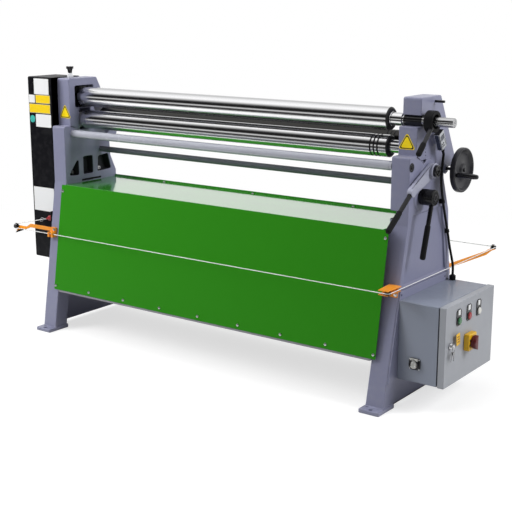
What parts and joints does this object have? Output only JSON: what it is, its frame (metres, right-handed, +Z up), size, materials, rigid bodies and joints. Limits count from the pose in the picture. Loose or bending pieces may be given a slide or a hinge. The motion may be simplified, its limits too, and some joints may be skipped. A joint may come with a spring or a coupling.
{
  "type": "plate rolling machine",
  "caption": "Floor-standing plate rolling machine with a swing-out top roll, pinch and rear rolls, cast end frames, sheet panels, levers, safety rope and electrical cabinet",
  "frame": {"origin": "Centre of the four foot bolt holes, on the floor", "axes": "X along the rolls towards the release end, Y from the operator to the back, Z up"},
  "size_m": [2.3455, 0.9707, 1.225],
  "materials": {
    "left_frame": "satin paint",
    "right_frame": "satin paint",
    "front_tie_bar": "satin paint",
    "rear_tie_bar": "satin paint",
    "front_panel": "satin paint",
    "top_panel": "satin paint",
    "rear_panel": "satin paint",
    "panel_rails": "satin paint",
    "drive_cover": "satin paint",
    "top_roll": "ground steel",
    "bottom_roll": "ground steel",
    "rear_roll": "ground steel",
    "top_bearing_block": "satin paint",
    "jaw_bush": "machined bronze",
    "bottom_bearing_blocks": "ground steel",
    "rear_bearing_blocks": "ground steel",
    "release_ring": "satin paint",
    "release_lever": "smooth plastic",
    "star_knob": "smooth plastic",
    "pinch_arm": "satin paint",
    "pinch_handle": "smooth plastic",
    "pinch_cap": "smooth plastic",
    "feed_hub": "satin paint",
    "feed_handle": "smooth plastic",
    "handwheel": "smooth plastic",
    "handwheel_grip": "smooth plastic",
    "readout": "matt plastic",
    "readout_bracket": "matt plastic",
    "readout_cable": "matt rubber",
    "cable_fittings": "matt plastic",
    "cabinet_mount": "satin paint",
    "cabinet_body": "satin paint",
    "cabinet_door": "satin paint",
    "button_frames": "matt plastic",
    "green_button": "smooth plastic",
    "red_button": "smooth plastic",
    "white_button": "smooth plastic",
    "main_switch_plate": "smooth plastic",
    "main_switch_knob": "smooth plastic",
    "door_lock": "polished",
    "power_inlet": "matt plastic",
    "rope_arms": "satin paint",
    "rope_pulleys": "matt plastic",
    "trip_rope": "ground steel",
    "rope_switch": "smooth plastic"
  },
  "bodies": {
    "machine": {"left_frame": "left_frame", "right_frame": "right_frame", "front_tie_bar": "front_tie_bar", "rear_tie_bar": "rear_tie_bar", "front_panel": "front_panel", "top_panel": "top_panel", "rear_panel": "rear_panel", "panel_rails": "panel_rails", "drive_cover": "drive_cover", "readout": "readout", "readout_bracket": "readout_bracket", "readout_cable": "readout_cable", "cable_fittings": "cable_fittings", "cabinet_mount": "cabinet_mount", "cabinet_body": "cabinet_body", "power_inlet": "power_inlet", "rope_arms": "rope_arms", "rope_pulleys": "rope_pulleys", "trip_rope": "trip_rope", "rope_switch": "rope_switch"},
    "top_carrier": {"top_bearing_block": "top_bearing_block", "jaw_bush": "jaw_bush"},
    "top_roll": {"top_roll": "top_roll"},
    "release": {"release_ring": "release_ring", "release_lever": "release_lever"},
    "low_carrier": {"bottom_bearing_blocks": "bottom_bearing_blocks"},
    "low_roll": {"bottom_roll": "bottom_roll"},
    "rear_carrier": {"rear_bearing_blocks": "rear_bearing_blocks"},
    "back_roll": {"rear_roll": "rear_roll"},
    "wheel": {"handwheel": "handwheel"},
    "wheel_grip": {"handwheel_grip": "handwheel_grip"},
    "pinch_lever": {"pinch_arm": "pinch_arm", "pinch_handle": "pinch_handle", "pinch_cap": "pinch_cap"},
    "feed_lever": {"feed_hub": "feed_hub", "feed_handle": "feed_handle"},
    "door": {"cabinet_door": "cabinet_door", "button_frames": "button_frames", "main_switch_plate": "main_switch_plate"},
    "switch_knob": {"main_switch_knob": "main_switch_knob"},
    "button_green": {"green_button": "green_button"},
    "button_red": {"red_button": "red_button"},
    "button_white": {"white_button": "white_button"},
    "lock": {"door_lock": "door_lock"},
    "star": {"star_knob": "star_knob"}
  },
  "joints": [
    {"name": "top_roll_swing", "type": "hinge", "parent": "machine", "child": "top_carrier", "pos_m": [-0.8865, -0.05, 1.085], "axis": [0, 0, -1], "range_deg": [0, 8]},
    {"name": "top_roll_spin", "type": "hinge", "parent": "top_carrier", "child": "top_roll", "pos_m": [0, -0.05, 1.085], "axis": [1, 0, 0], "continuous": true},
    {"name": "release_ring_turn", "type": "hinge", "parent": "top_carrier", "child": "release", "pos_m": [0.96, -0.05, 1.085], "axis": [-1, 0, 0], "range_deg": [0, 80]},
    {"name": "bottom_roll_lift", "type": "slide", "parent": "machine", "child": "low_carrier", "axis": [0, 0, 1], "range_m": [-0.006, 0.012]},
    {"name": "bottom_roll_spin", "type": "hinge", "parent": "low_carrier", "child": "low_roll", "pos_m": [0, -0.05, 0.98], "axis": [1, 0, 0], "continuous": true},
    {"name": "rear_roll_feed", "type": "slide", "parent": "machine", "child": "rear_carrier", "axis": [0, -0.5, 0.866], "range_m": [-0.04, 0.03]},
    {"name": "rear_roll_spin", "type": "hinge", "parent": "rear_carrier", "child": "back_roll", "pos_m": [0, 0.075, 0.985], "axis": [1, 0, 0], "continuous": true},
    {"name": "handwheel_turn", "type": "hinge", "parent": "machine", "child": "wheel", "pos_m": [0.995, 0.148, 0.882], "axis": [-1, 0, 0], "continuous": true},
    {"name": "handwheel_grip_turn", "type": "hinge", "parent": "wheel", "child": "wheel_grip", "pos_m": [1.05, 0.078, 0.872], "axis": [1, 0, 0], "continuous": true},
    {"name": "pinch_lever", "type": "hinge", "parent": "machine", "child": "pinch_lever", "pos_m": [0.96, -0.006, 0.894], "axis": [-1, 0, 0], "range_deg": [0, 40]},
    {"name": "feed_lever", "type": "hinge", "parent": "machine", "child": "feed_lever", "pos_m": [0.96, -0.056, 0.8], "axis": [-1, 0, 0], "range_deg": [-40, 25]},
    {"name": "cabinet_door", "type": "hinge", "parent": "machine", "child": "door", "pos_m": [1.0985, 0.22, 0.27], "axis": [0, 0, 1], "range_deg": [0, 110]},
    {"name": "main_switch_turn", "type": "hinge", "parent": "door", "child": "switch_knob", "pos_m": [1.16, -0.014, 0.256], "axis": [-1, 0, 0], "range_deg": [0, 90]},
    {"name": "green_button_press", "type": "slide", "parent": "door", "child": "button_green", "axis": [-1, 0, 0], "range_m": [0, 0.003], "stiffness_N_per_m": 300},
    {"name": "red_button_press", "type": "slide", "parent": "door", "child": "button_red", "axis": [-1, 0, 0], "range_m": [0, 0.003], "stiffness_N_per_m": 300},
    {"name": "white_button_press", "type": "slide", "parent": "door", "child": "button_white", "axis": [-1, 0, 0], "range_m": [0, 0.003], "stiffness_N_per_m": 300},
    {"name": "door_lock_turn", "type": "hinge", "parent": "door", "child": "lock", "pos_m": [1.12, -0.166, 0.273], "axis": [-1, 0, 0], "range_deg": [0, 90]},
    {"name": "star_knob_turn", "type": "hinge", "parent": "machine", "child": "star", "pos_m": [-0.8865, -0.099, 1.2], "axis": [0, 0, 1], "continuous": true}
  ],
  "couplings": [
    {"joint": "bottom_roll_spin", "follows": "top_roll_spin", "ratio": -1}
  ]
}
